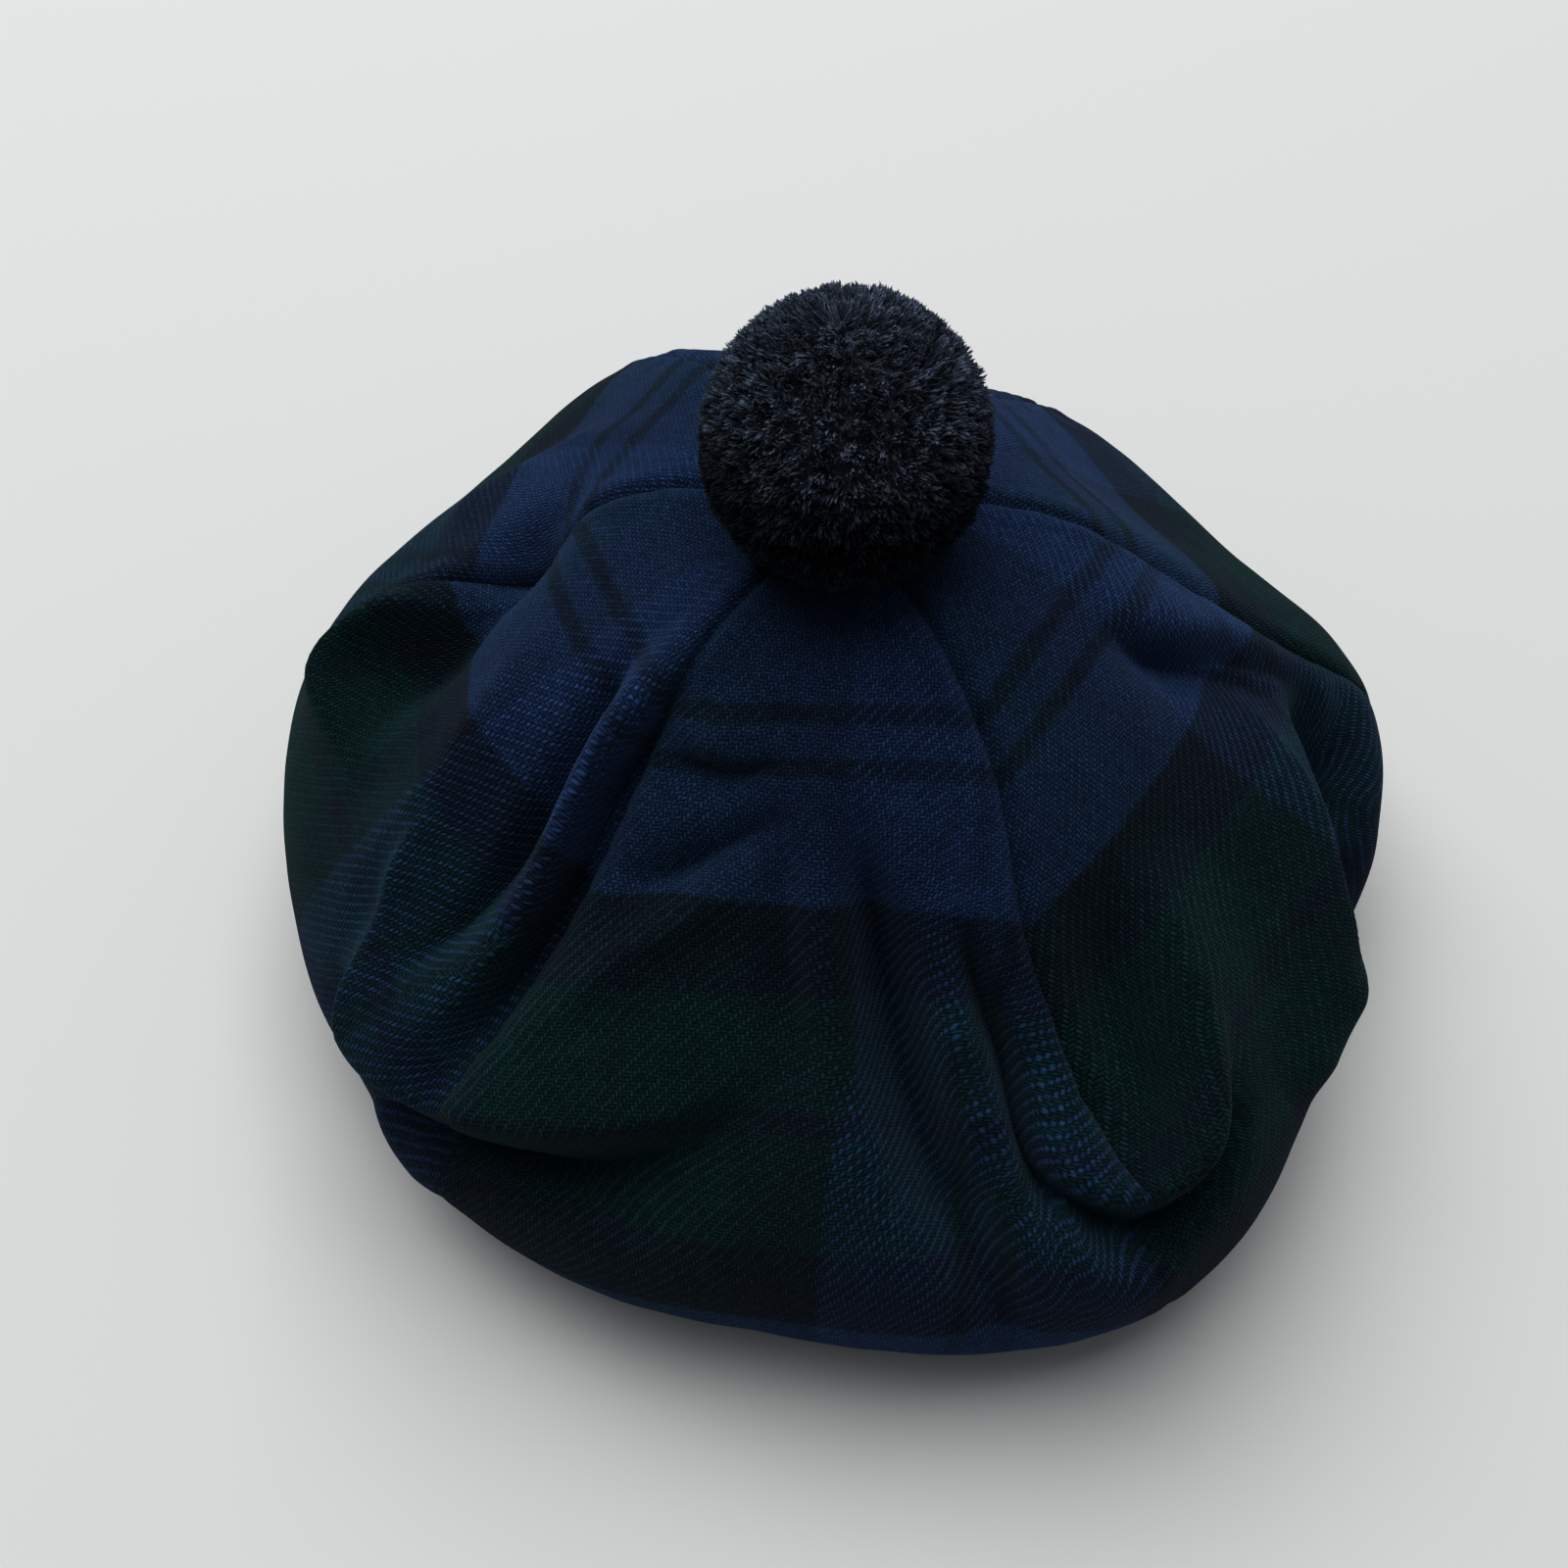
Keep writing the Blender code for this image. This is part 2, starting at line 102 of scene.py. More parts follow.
# Folds of the cloth. A fold's crest runs smoothly through its points, each given as (turn, share
# of the way from apex to band). Height is along the cloth's normal and negative for a hollow,
# left and right are its half widths as one looks along it from outside, and lean moves it
# sideways. A power of 2 makes a round crest, less a sharp one, more a flat one.
Fold = namedtuple("Fold", "crest height left right power lean")
FOLDS = {
    "left_seam_ridge": (((149, 0.19), (153, 0.35), (161, 0.47), (168, 0.53)), 0.005, 0.010, 0.008, 1.6, 0),
    "left_seam_hollow": (((177, 0.22), (181, 0.36), (191, 0.455), (204, 0.53)), -0.013, 0.013, 0.007, 2, 0),
    "left_edge_ridge": (((183, 0.34), (186, 0.48), (192, 0.55), (209, 0.53)), 0.012, 0.003, 0.006, 1.3, 0),
    "left_soft_ridge": (((203, 0.24), (212, 0.38), (215, 0.48), (215, 0.62)), 0.007, 0.009, 0.009, 1.6, 0),
    "corner_ridge": (((216, 0.44), (221, 0.53), (227, 0.59), (233, 0.66)), 0.008, 0.008, 0.003, 1.3, 0),
    "pleat_hollow": (((226, 0.20), (227, 0.32), (229, 0.44), (230, 0.60)), -0.007, 0.003, 0.003, 1.8, 0),
    "left_big_ridge": (((239, 0.14), (234, 0.29), (235, 0.44), (233, 0.68)), 0.009, 0.004, 0.005, 2.4, 0.002),
    "left_big_hollow": (((241, 0.2), (238, 0.34), (239, 0.48), (239, 0.68)), -0.010, 0.004, 0.004, 2, -0.004),
    "slant_ridge": (((242, 0.56), (247, 0.46), (254, 0.40), (263, 0.34)), 0.004, 0.004, 0.004, 1.4, 0),
    "slant_crease": (((267, 0.29), (258, 0.33), (251, 0.37), (242, 0.41)), -0.005, 0.003, 0.004, 1.6, 0),
    "front_dimple": (((241, 0.28), (249, 0.28), (256, 0.27), (264, 0.25)), -0.005, 0.003, 0.005, 1.6, 0),
    "dimple_lip": (((243, 0.26), (250, 0.26), (256, 0.26), (263, 0.24)), 0.002, 0.004, 0.002, 1.8, -0.001),
    "front_overhang": (((220, 0.56), (232, 0.62), (251, 0.57), (270, 0.47)), 0.008, 0.022, 0.005, 2, -0.005),
    "front_under_tuck": (((218, 0.62), (231, 0.68), (250, 0.63), (269, 0.53)), -0.013, 0.003, 0.012, 2, 0),
    "lower_edge_ridge": (((226, 0.70), (234, 0.74), (243, 0.73)), 0.004, 0.005, 0.005, 1.8, 0),
    "front_left_hollow": (((262, 0.27), (266, 0.36), (268, 0.44), (271, 0.54)), -0.006, 0.005, 0.005, 1.8, 0),
    "front_left_pleat": (((268, 0.28), (272, 0.40), (275, 0.55), (284, 0.70)), 0.006, 0.005, 0.012, 2, 0),
    "front_valley": (((274, 0.26), (279, 0.42), (283, 0.56), (288, 0.78)), -0.018, 0.006, 0.006, 2, 0),
    "front_middle_pleat": (((287, 0.42), (286, 0.50), (286, 0.60)), 0.006, 0.004, 0.005, 2, 0),
    "front_right_hollow": (((290, 0.36), (292, 0.46), (292, 0.54), (290, 0.66)), -0.013, 0.003, 0.004, 2, 0),
    "pocket_ridge": (((292, 0.40), (289, 0.58), (297, 0.67), (305, 0.62)), 0.005, 0.004, 0.008, 1.8, 0),
    "pocket_groove": (((291, 0.52), (296, 0.62), (304, 0.62), (311, 0.53)), -0.008, 0.003, 0.004, 2, 0),
    "pocket_tongue": (((290, 0.47), (295, 0.57), (304, 0.58), (312, 0.48)), 0.006, 0.013, 0.004, 2, -0.004),
    "pocket_seam_shift": (((302, 0.25), (301, 0.42), (301, 0.56), (302, 0.72)), 0, 0.012, 0.012, 2, -0.005),
    "upright_ridge": (((317, 0.40), (310, 0.50), (304, 0.58), (296, 0.65)), 0.012, 0.012, 0.004, 1.7, 0),
    "pocket_floor": (((312, 0.36), (306, 0.48), (302, 0.56), (298, 0.60)), -0.006, 0.003, 0.006, 2, 0),
    "right_tuck": (((333, 0.25), (342, 0.33), (351, 0.41), (356, 0.56)), -0.008, 0.003, 0.007, 1.8, 0),
    "right_bank": (((335, 0.23), (345, 0.33), (351, 0.41), (354, 0.54)), 0.006, 0.010, 0.004, 2, -0.002),
    "right_seam_crease": (((362, 0.20), (362, 0.33), (361, 0.43), (359, 0.56)), -0.004, 0.003, 0.004, 1.8, 0),
    "right_side_ridge": (((358, 0.50), (354, 0.56), (348, 0.58)), 0.005, 0.004, 0.004, 1.6, 0),
    "right_crest": (((346, 0.42), (336, 0.53), (329, 0.61), (324, 0.72)), 0.008, 0.004, 0.013, 1.6, 0),
    "right_pocket": (((357, 0.48), (348, 0.59), (340, 0.66), (332, 0.78)), -0.026, 0.009, 0.009, 2, 0),
    "right_low_crest": (((329, 0.64), (322, 0.655), (314, 0.66)), 0.005, 0.006, 0.006, 1.8, 0),
}
FOLD_STEPS = 48
FOLD_FADE = 0.35  # share of a fold's length over which it rises at each end
FOLD_REACH = 4.5  # half widths past which a fold no longer moves the cloth
BAND_HOLD = 0.15  # share of the cloth beside the band over which the folds die out
CREST_WIDTH = 0.7  # how quickly a fold falls off across its half width

SEAM_DROP = 0.0017  # how deep the turned edges sink into a seam
SEAM_WIDTH = 0.0013
SEAM_PUFF = 0.0004  # how far the cloth stands up beside it
SEAM_PUFF_AT = 0.0042
SEAM_PUFF_WIDTH = 0.0022
PUCKER_HEIGHT = 0.00018  # ripples that the stitches draw into the seam
PUCKER_LENGTH = 0.011
PUCKER_WIDTH = 0.008
PUCKER_DRIFT = 0.023  # length over which the ripples crowd together and spread out again
SEAM_PRESSED_FROM = 0.52  # share of the way to the band from which the seams lie flatter
SEAM_PRESSED_OVER = 0.12  # share over which they get flatter
SEAM_PRESSED_BY = 0.85  # part of their height that they lose
SOFT_WAVES = ((0.030, 0.0008), (0.012, 0.0003))  # length and height of the cloth's own unevenness
FAN_LIMIT = 0.9  # share of its own length by which a step along the gore may fan out
STRIPES_OVER = 14  # mesh steps over which a fold's stretch of the stripes is evened out
THREADS_OVER = 30  # and of the threads
THREAD_EVEN = 0.8  # how much of it is evened out in the threads
CUT_EDGE = math.radians(80)  # the cloth's faces stay sharp against its cut edges


def unit(vectors):
    return vectors / np.maximum(np.linalg.norm(vectors, axis=-1, keepdims=True), 1e-12)


def sections_at(turns):
    """The section columns after turn, as a Catmull-Rom curve through the table's rows."""
    rows = np.array([Section(*row)[1:] for row in SECTIONS], float)
    rows[:, 0] -= [Section(*row).turn for row in SECTIONS]
    place = turns / 360.0 * len(rows)
    first = np.floor(place).astype(int)
    t = (place - first)[:, None]
    a, b, c, d = (rows[(first + k) % len(rows)] for k in (-1, 0, 1, 2))
    curve = b + 0.5 * t * (c - a + t * (2 * a - 5 * b + 4 * c - d + t * (3 * (b - c) + d - a)))
    curve[:, 0] += turns
    return curve.T


def hermite(start, end, leave, arrive):
    """A curve from each start to its end, with these headings there."""
    t = np.linspace(0, 1, PROFILE_STEPS)[None, :, None]
    start, end, leave, arrive = (p[:, None] for p in (start, end, leave, arrive))
    falling = 2 * t**3 - 3 * t**2 + 1
    return (
        falling * start
        + (1 - falling) * end
        + (t**3 - 2 * t**2 + t) * leave
        + (t**3 - t**2) * arrive
    )


def profiles(turns):
    """The unfolded crown from apex to band at each turn: points, and the length up to each."""
    azimuth, top, shoulder, reach, rim, under = sections_at(turns)
    azimuth = np.radians(azimuth)
    out = np.stack([np.cos(azimuth), np.sin(azimuth), 0 * azimuth], -1)
    up = np.array((0.0, 0.0, 1.0))
    foot = APEX * (1, 1, 0)
    rim_plan = out * reach[:, None]
    cloth_end = BAND_RADIUS + GAP
    turned_out = cloth_end + UNDER_AT * (reach - cloth_end)
    stations = [
        APEX + 0 * out,
        foot + (rim_plan - foot) * TOP_AT + up * top[:, None],
        foot + (rim_plan - foot) * SHOULDER_AT + up * shoulder[:, None],
        rim_plan + up * rim[:, None],
        out * turned_out[:, None] + up * under[:, None],
        out * cloth_end + up * (BAND_HEIGHT - CLOTH),
    ]
    chords = [stations[k + 1] - stations[k] for k in range(5)]
    lengths = [np.linalg.norm(chord, axis=1)[:, None] for chord in chords]
    heading = [unit(rim_plan - foot)]
    for k in range(4):
        turning = chords[k] / lengths[k] * lengths[k + 1] + chords[k + 1] / lengths[k + 1] * lengths[k]
        heading.append(turning / (lengths[k] + lengths[k + 1]))
    heading[3] = -up + 0 * out
    heading.append(-out)
    pieces = []
    for k, fuller in enumerate((1.0, 1.0, RIM_FULLER, RIM_FULLER, 1.0)):
        size = lengths[k] * fuller
        curve = hermite(stations[k], stations[k + 1], heading[k] * size, heading[k + 1] * size)
        pieces.append(curve if k == 0 else curve[:, 1:])
    points = np.concatenate(pieces, axis=1)
    steps = np.linalg.norm(np.diff(points, axis=1), axis=2)
    return points, np.pad(np.cumsum(steps, axis=1), ((0, 0), (1, 0)))


def smooth_crown(turns, shares):
    """Points of the unfolded crown: one row for each turn, with that row's shares along it."""
    points, lengths = profiles(turns)
    rows = []
    for line, length, share in zip(points, lengths, shares):
        place = share * length[-1]
        rows.append(np.stack([np.interp(place, length, line[:, axis]) for axis in range(3)], -1))
    return np.array(rows)


def crown_normals(grid):
    """Which way is outward at each point of a grid that runs right round the crown."""
    across = np.roll(grid, -1, axis=0) - np.roll(grid, 1, axis=0)
    return unit(np.cross(np.gradient(grid, axis=1), across))


def curve_through(points, t):
    """A Catmull-Rom curve through the points, with t from 0 to 1 along it."""
    points = np.array(points, float)
    ends = 2 * points[0] - points[1], 2 * points[-1] - points[-2]
    points = np.vstack([ends[0], points, ends[1]])
    place = np.clip(t * (len(points) - 3), 0, len(points) - 3 - 1e-9)
    first = place.astype(int)
    t = (place - first)[:, None]
    a, b, c, d = (points[first + k] for k in range(4))
    return b + 0.5 * t * (c - a + t * (2 * a - 5 * b + 4 * c - d + t * (3 * (b - c) + d - a)))


def rise(t, length=FOLD_FADE):
    """From 0 to 1 smoothly, as t goes from 0 to the length."""
    t = np.clip(t / length, 0, 1)
    return t * t * (3 - 2 * t)


def fold_push(points, normals, fold):
    """How one fold moves each point of the unfolded crown."""
    fold = Fold(*fold)
    along = np.linspace(0, 1, FOLD_STEPS)
    turn, share = curve_through(fold.crest, along).T
    crest = smooth_crown(turn, share[:, None])[:, 0]
    reach = FOLD_REACH * max(fold.left, fold.right)
    near = ((points > crest.min(0) - reach) & (points < crest.max(0) + reach)).all(1)
    close = points[near]
    nearest = np.full(len(close), np.inf)
    place = np.zeros(len(close))
    offset = np.zeros_like(close)
    ahead = np.zeros_like(close)
    for k in range(FOLD_STEPS - 1):
        step = crest[k + 1] - crest[k]
        part = np.clip((close - crest[k]) @ step / (step @ step), 0, 1)
        away = close - crest[k] - part[:, None] * step
        distance = np.linalg.norm(away, axis=1)
        closer = distance < nearest
        nearest[closer] = distance[closer]
        place[closer] = (along[k] + part * (along[k + 1] - along[k]))[closer]
        offset[closer] = away[closer]
        ahead[closer] = step / np.linalg.norm(step)
    side = unit(np.cross(normals[near], ahead))
    width = np.where((offset * side).sum(1) > 0, fold.left, fold.right)
    strength = np.exp(-CREST_WIDTH * (nearest / width) ** fold.power) * rise(place) * rise(1 - place)
    push = np.zeros_like(points)
    push[near] = strength[:, None] * (fold.height * normals[near] + fold.lean * side)
    return push


def steps_between(grid, axis):
    """How far each point lies along the mesh lines of this axis from the first one."""
    steps = np.linalg.norm(np.diff(grid, axis=axis), axis=2)
    return np.pad(np.cumsum(steps, axis=axis), ((0, 0), (1, 0)) if axis else ((1, 0), (0, 0)))


def evened(values, axis, steps):
    """Values smoothed along an axis over so many mesh steps, with the ends held."""
    weights = np.exp(-0.5 * (np.arange(-3 * steps, 3 * steps + 1) / steps) ** 2)
    padding = [(0, 0), (0, 0)]
    padding[axis] = (3 * steps, 3 * steps)
    padded = np.pad(values, padding, mode="reflect", reflect_type="odd")
    return np.apply_along_axis(np.convolve, axis, padded, weights / weights.sum(), "valid")


def soft_waves(points):
    """The cloth's own unevenness at each point, as a height."""
    height = np.zeros(len(points))
    for length, size in SOFT_WAVES:
        height += [size * noise.noise(Vector(point) / length) for point in points]
    return height


def seam_height(away, along, seam):
    """How the stitches lift and drop the cloth, by its distances from and along the seam.

    The seam's number gives its ripples a start of their own.
    """
    groove = -SEAM_DROP * np.exp(-((away / SEAM_WIDTH) ** 2))
    puff = SEAM_PUFF * np.exp(-(((away - SEAM_PUFF_AT) / SEAM_PUFF_WIDTH) ** 2))
    drift = 2 * np.sin(along / PUCKER_DRIFT + 2.1 * seam)
    wave = np.sin(2 * math.pi * along / PUCKER_LENGTH + seam + drift)
    return groove + puff + PUCKER_HEIGHT * wave * np.exp(-away / PUCKER_WIDTH)


# The crown's middle surface on a grid of turns and shares: each point's length from the apex, its
# place unfolded and folded, the folded cloth's normal, and how free it is of the band, from 0 to 1.
Crown = namedtuple("Crown", "down smooth folded normals free")


def crown_grid():
    turns = np.concatenate([GORE_TURN * (k + np.arange(n) / n) for k, n in enumerate(GORES.values())])
    lengths = profiles(turns)[1][:, -1:]
    first = APEX_HOLE / lengths
    stops = [0.0]
    for share, steps in ROW_STEPS:
        stops.extend(np.linspace(stops[-1], share, steps + 1)[1:])
    shares = first + (1 - first) * np.array(stops)
    smooth = smooth_crown(turns, shares)
    points = smooth.reshape(-1, 3)
    normals = crown_normals(smooth).reshape(-1, 3)
    pushes = sum(fold_push(points, normals, fold) for fold in FOLDS.values())
    pushes += normals * soft_waves(points)[:, None]
    free = rise(1 - shares, BAND_HOLD)[..., None]
    folded = smooth + pushes.reshape(smooth.shape) * free
    return Crown(lengths * shares, smooth, folded, crown_normals(folded), free)


def cut_length(down, across):
    """How far down the flat cut each point lies, where the gore's lines fan out from its middle."""
    start = np.sqrt(down[:, :1] ** 2 - across[:, :1] ** 2)
    steps = np.diff(down, axis=1)
    fanned = np.minimum(np.abs(np.diff(across, axis=1)), FAN_LIMIT * steps)
    return start + np.pad(np.cumsum(np.sqrt(steps**2 - fanned**2), axis=1), ((0, 0), (1, 0)))


def gore_grid(number, columns, crown):
    """One gore's middle surface with its seams, its normals, and its places in stripes and threads."""
    first = sum(list(GORES.values())[:number])
    take = np.arange(first, first + columns + 1) % len(crown.down)
    down, smooth, folded, normals, free = (part[take] for part in crown)
    from_edge = steps_between(smooth, 0)
    across = from_edge - from_edge[columns // 2]
    along = cut_length(down, across)
    wider = steps_between(folded, 0) - from_edge
    longer = steps_between(folded, 1) - steps_between(smooth, 1)
    laid, woven = (
        np.stack([
            across + wider - part * evened(wider, 0, steps),
            along + longer - part * evened(longer, 1, steps),
        ], -1)
        for part, steps in ((1.0, STRIPES_OVER), (THREAD_EVEN, THREADS_OVER))
    )
    height = seam_height(from_edge, down, number)
    height += seam_height(from_edge[-1:] - from_edge, down, (number + 1) % len(GORES))
    pressed = rise(down / down[:, -1:] - SEAM_PRESSED_FROM, SEAM_PRESSED_OVER)
    height *= 1 - SEAM_PRESSED_BY * pressed
    return folded + normals * (height[..., None] * free), normals, laid, woven


def edge_shift(grid, normals, edge, inward):
    """Half the gap across the seam at this edge of a gore."""
    along = unit(np.gradient(grid[edge], axis=0))
    across = unit(np.cross(normals[edge], along))
    across *= np.sign((across * (grid[inward] - grid[edge])).sum(1))[:, None]
    return across * SEAM_GAP / 2


def in_scene(name, data):
    """A new object for this mesh, light or camera, in the scene."""
    made = bpy.data.objects.new(name, data)
    bpy.context.scene.collection.objects.link(made)
    return made


def cloth_between(name, outer, inner, laid):
    """A closed cloth from its two faces, with each named set of places as a UV map."""
    columns, rows = outer.shape[:2]
    corner = np.arange(columns * rows).reshape(columns, rows)
    below = corner + columns * rows

    def patches(*corners):
        return np.stack([each.ravel() for each in corners], -1)

    faces = [
        patches(corner[:-1, :-1], corner[:-1, 1:], corner[1:, 1:], corner[1:, :-1]),
        patches(below[:-1, :-1], below[1:, :-1], below[1:, 1:], below[:-1, 1:]),
        patches(corner[0, 1:], corner[0, :-1], below[0, :-1], below[0, 1:]),
        patches(corner[-1, :-1], corner[-1, 1:], below[-1, 1:], below[-1, :-1]),
        patches(corner[:-1, 0], corner[1:, 0], below[1:, 0], below[:-1, 0]),
        patches(corner[1:, -1], corner[:-1, -1], below[:-1, -1], below[1:, -1]),
    ]
    points = np.concatenate([outer.reshape(-1, 3), inner.reshape(-1, 3)]) + BAND_CENTRE
    mesh = bpy.data.meshes.new(name)
    mesh.from_pydata(points.tolist(), [], np.concatenate(faces).tolist())
    point_of = np.zeros(len(mesh.loops), int)
    mesh.loops.foreach_get("vertex_index", point_of)
    for label, places in laid.items():
        places = np.concatenate([places.reshape(-1, 2)] * 2)[point_of]
        mesh.uv_layers.new(name=label).data.foreach_set("uv", places.ravel())
    mesh.shade_smooth()
    mesh.set_sharp_from_angle(angle=CUT_EDGE)
    return in_scene(name, mesh)


def feed(tree, value, socket):
    """Joins a socket to another node's output, or sets it to a plain value."""
    if isinstance(value, bpy.types.NodeSocket):
        tree.links.new(value, socket)
    else:
        socket.default_value = value


def maths(tree, operation, *values):
    node = tree.nodes.new("ShaderNodeMath")
    node.operation = operation
    for value, socket in zip(values, node.inputs):
        feed(tree, value, socket)
    return node.outputs[0]


def mixed(tree, share, first, second, blend="MIX"):
    """Two colours mixed by a share."""
    node = tree.nodes.new("ShaderNodeMix")
    node.data_type = "RGBA"
    node.blend_type = blend
    feed(tree, share, node.inputs[0])
    feed(tree, first, node.inputs[6])
    feed(tree, second, node.inputs[7])
    return node.outputs[2]


def noise_at(tree, place, scale, detail):
    """A noise's value at a place, from 0 to 1, with scale in waves to the metre."""
    node = tree.nodes.new("ShaderNodeTexNoise")
    tree.links.new(place, node.inputs["Vector"])
    node.inputs["Scale"].default_value = scale
    node.inputs["Detail"].default_value = detail
    return node.outputs["Fac"]


def ranged(tree, value, low, high, to_low=0.0, to_high=1.0):
    """A value's range from low to high, turned into another and held to it."""
    node = tree.nodes.new("ShaderNodeMapRange")
    for part, socket in zip((value, low, high, to_low, to_high), node.inputs):
        feed(tree, part, socket)
    return node.outputs[0]


def shaded(tree, colour, *shades):
    """A colour under several shades, each a value, its low and high, and how dark and bright they are."""
    light = 1.0
    for value, low, high, dark, bright in shades:
        light = maths(tree, "MULTIPLY", light, ranged(tree, value, low, high, dark, bright))
    grey = tree.nodes.new("ShaderNodeCombineXYZ")
    for socket in grey.inputs:
        tree.links.new(light, socket)
    return mixed(tree, 1.0, colour, grey.outputs[0], "MULTIPLY")


def relief(tree, height, distance):
    """The normal of a surface that rises by this distance where the height is 1."""
    node = tree.nodes.new("ShaderNodeBump")
    node.inputs["Distance"].default_value = distance
    tree.links.new(height, node.inputs["Height"])
    return node.outputs[0]


def new_material(name):
    """A new material, with its tree and its shader."""
    material = bpy.data.materials.new(name)
    material.use_nodes = True
    return material, material.node_tree, material.node_tree.nodes["Principled BSDF"]


def effect(name, inputs, outputs):
    """An empty shader node group with these sockets, and its two ends: what it is given and makes."""
    group = bpy.data.node_groups.new(name, "ShaderNodeTree")
    for way, sockets in (("INPUT", inputs), ("OUTPUT", outputs)):
        for label, kind in sockets.items():
            group.interface.new_socket(label, in_out=way, socket_type="NodeSocket" + kind)
    start = group.nodes.new("NodeGroupInput")
    end = group.nodes.new("NodeGroupOutput")
    return group, start.outputs, end.inputs


def placed(tree, group, **values):
    """A group placed in a material, with its sockets fed."""
    node = tree.nodes.new("ShaderNodeGroup")
    node.node_tree = group
    for label, value in values.items():
        feed(tree, value, node.inputs[label])
    return node.outputs


# The cloth is a 2/2 twill: each thread floats over two others and then dives under two, one step
# further along than its neighbour does.
THREAD = 0.00072  # from one thread to the next
OVER = 2.0  # threads that a float passes over
FLOAT_ARCH = 0.6  # a float's arch: less stands up more steeply at its ends
WEFT_LOW = 0.62  # height of a weft float beside that of a warp float


def twill_weave():
    """Which thread lies on top, how high it stands, and a random shade for each float."""
    group, given, made = effect(
        "twill weave",
        {"Across": "Float", "Along": "Float", "Thread": "Float"},
        {"Weft": "Float", "Height": "Float", "Shade": "Float"},
    )
    across = maths(group, "DIVIDE", given["Across"], given["Thread"])
    along = maths(group, "DIVIDE", given["Along"], given["Thread"])
    column, row = maths(group, "FLOOR", across), maths(group, "FLOOR", along)
    in_column, in_row = maths(group, "SUBTRACT", across, column), maths(group, "SUBTRACT", along, row)
    step = maths(group, "FLOORED_MODULO", maths(group, "ADD", column, row), 2 * OVER)
    weft = maths(group, "GREATER_THAN", step, OVER - 0.5)
    weft_step = maths(group, "SUBTRACT", step, OVER)
    heights = []
    shades = []
    for width, length, past, own, other in (
        (in_column, in_row, step, column, row),
        (in_row, in_column, weft_step, row, column),
    ):
        centred = maths(group, "MULTIPLY_ADD", width, 2.0, -1.0)
        round_over = maths(group, "SUBTRACT", 1.0, maths(group, "MULTIPLY", centred, centred))
        part = maths(group, "DIVIDE", maths(group, "ADD", past, length), OVER)
        arch = maths(group, "SINE", maths(group, "MULTIPLY", part, math.pi))
        heights.append(maths(group, "MULTIPLY", round_over, maths(group, "POWER", arch, FLOAT_ARCH)))
        pair = group.nodes.new("ShaderNodeCombineXYZ")
        feed(group, own, pair.inputs[0])
        feed(group, maths(group, "SUBTRACT", other, step), pair.inputs[1])
        dice = group.nodes.new("ShaderNodeTexWhiteNoise")
        dice.noise_dimensions = "2D"
        group.links.new(pair.outputs[0], dice.inputs["Vector"])
        shades.append(dice.outputs["Value"])
    for (warp_value, weft_value), low, name in ((heights, WEFT_LOW, "Height"), (shades, 1.0, "Shade")):
        lowered = maths(group, "MULTIPLY", weft_value, low)
        kept = maths(group, "MULTIPLY", warp_value, maths(group, "SUBTRACT", 1.0, weft))
        feed(group, maths(group, "MULTIPLY_ADD", lowered, weft, kept), made[name])
    feed(group, weft, made["Weft"])
    return group


# The sett, in metres from the middle of a blue stripe to the middle of the next green one.
SETT_HALF = 0.0795
BLUE_END = 0.0345
BLACK_END = 0.0535
LINE_AT = 0.0055
LINE_WIDTH = 0.0040
GREEN_LINE_WIDTH = 0.0050
LINE_STRENGTH = 0.72
STRIPE_BLUR = 0.0007  # how far the fulled wool of two stripes runs together


def tartan_stripes():
    """The colour of one thread by its place in the sett, which mirrors at each end."""
    group, given, made = effect(
        "tartan stripes",
        {"Place": "Float", "Blue": "Color", "Green": "Color", "Black": "Color"},
        {"Colour": "Color"},
    )
    shifted = maths(group, "ADD", given["Place"], SETT_HALF)
    repeated = maths(group, "FLOORED_MODULO", shifted, 2 * SETT_HALF)
    place = maths(group, "ABSOLUTE", maths(group, "SUBTRACT", repeated, SETT_HALF))
    black_from = ranged(group, place, BLUE_END - STRIPE_BLUR, BLUE_END + STRIPE_BLUR)
    green_from = ranged(group, place, BLACK_END - STRIPE_BLUR, BLACK_END + STRIPE_BLUR)
    lines = []
    for middle, width in ((LINE_AT, LINE_WIDTH), (SETT_HALF, GREEN_LINE_WIDTH)):
        away = maths(group, "ABSOLUTE", maths(group, "SUBTRACT", place, middle))
        edge = width / 2
        lines.append(ranged(group, away, edge + STRIPE_BLUR, edge - STRIPE_BLUR, 0.0, LINE_STRENGTH))
    colour = mixed(group, black_from, given["Blue"], given["Black"])
    colour = mixed(group, green_from, colour, given["Green"])
    line = maths(group, "MAXIMUM", *lines)
    feed(group, mixed(group, line, colour, given["Black"]), made["Colour"])
    return group


TWILL = twill_weave()
STRIPES = tartan_stripes()

# The wool's fibres stand out of its threads and catch the light as a pale nap.
STRAY = 0.00045  # how far a thread strays from its straight line
STRAY_SCALE = 900.0  # waves to the metre, here and below
FUZZ_SCALE = 2600.0
FUZZ_HEIGHT = 0.35  # beside a thread's height
PATCH_SCALE = 35.0  # of patches where the cloth is a little lighter or darker
WOOL_ROUGH = (0.82, 0.97)
NAP_BRIGHT = (6.0, 6.0, 6.0, 1)  # how much brighter the nap is than the dyed thread
NAP_PALE = (0.45, 0.55, 0.60, 1)
NAP_PALE_SHARE = 0.3


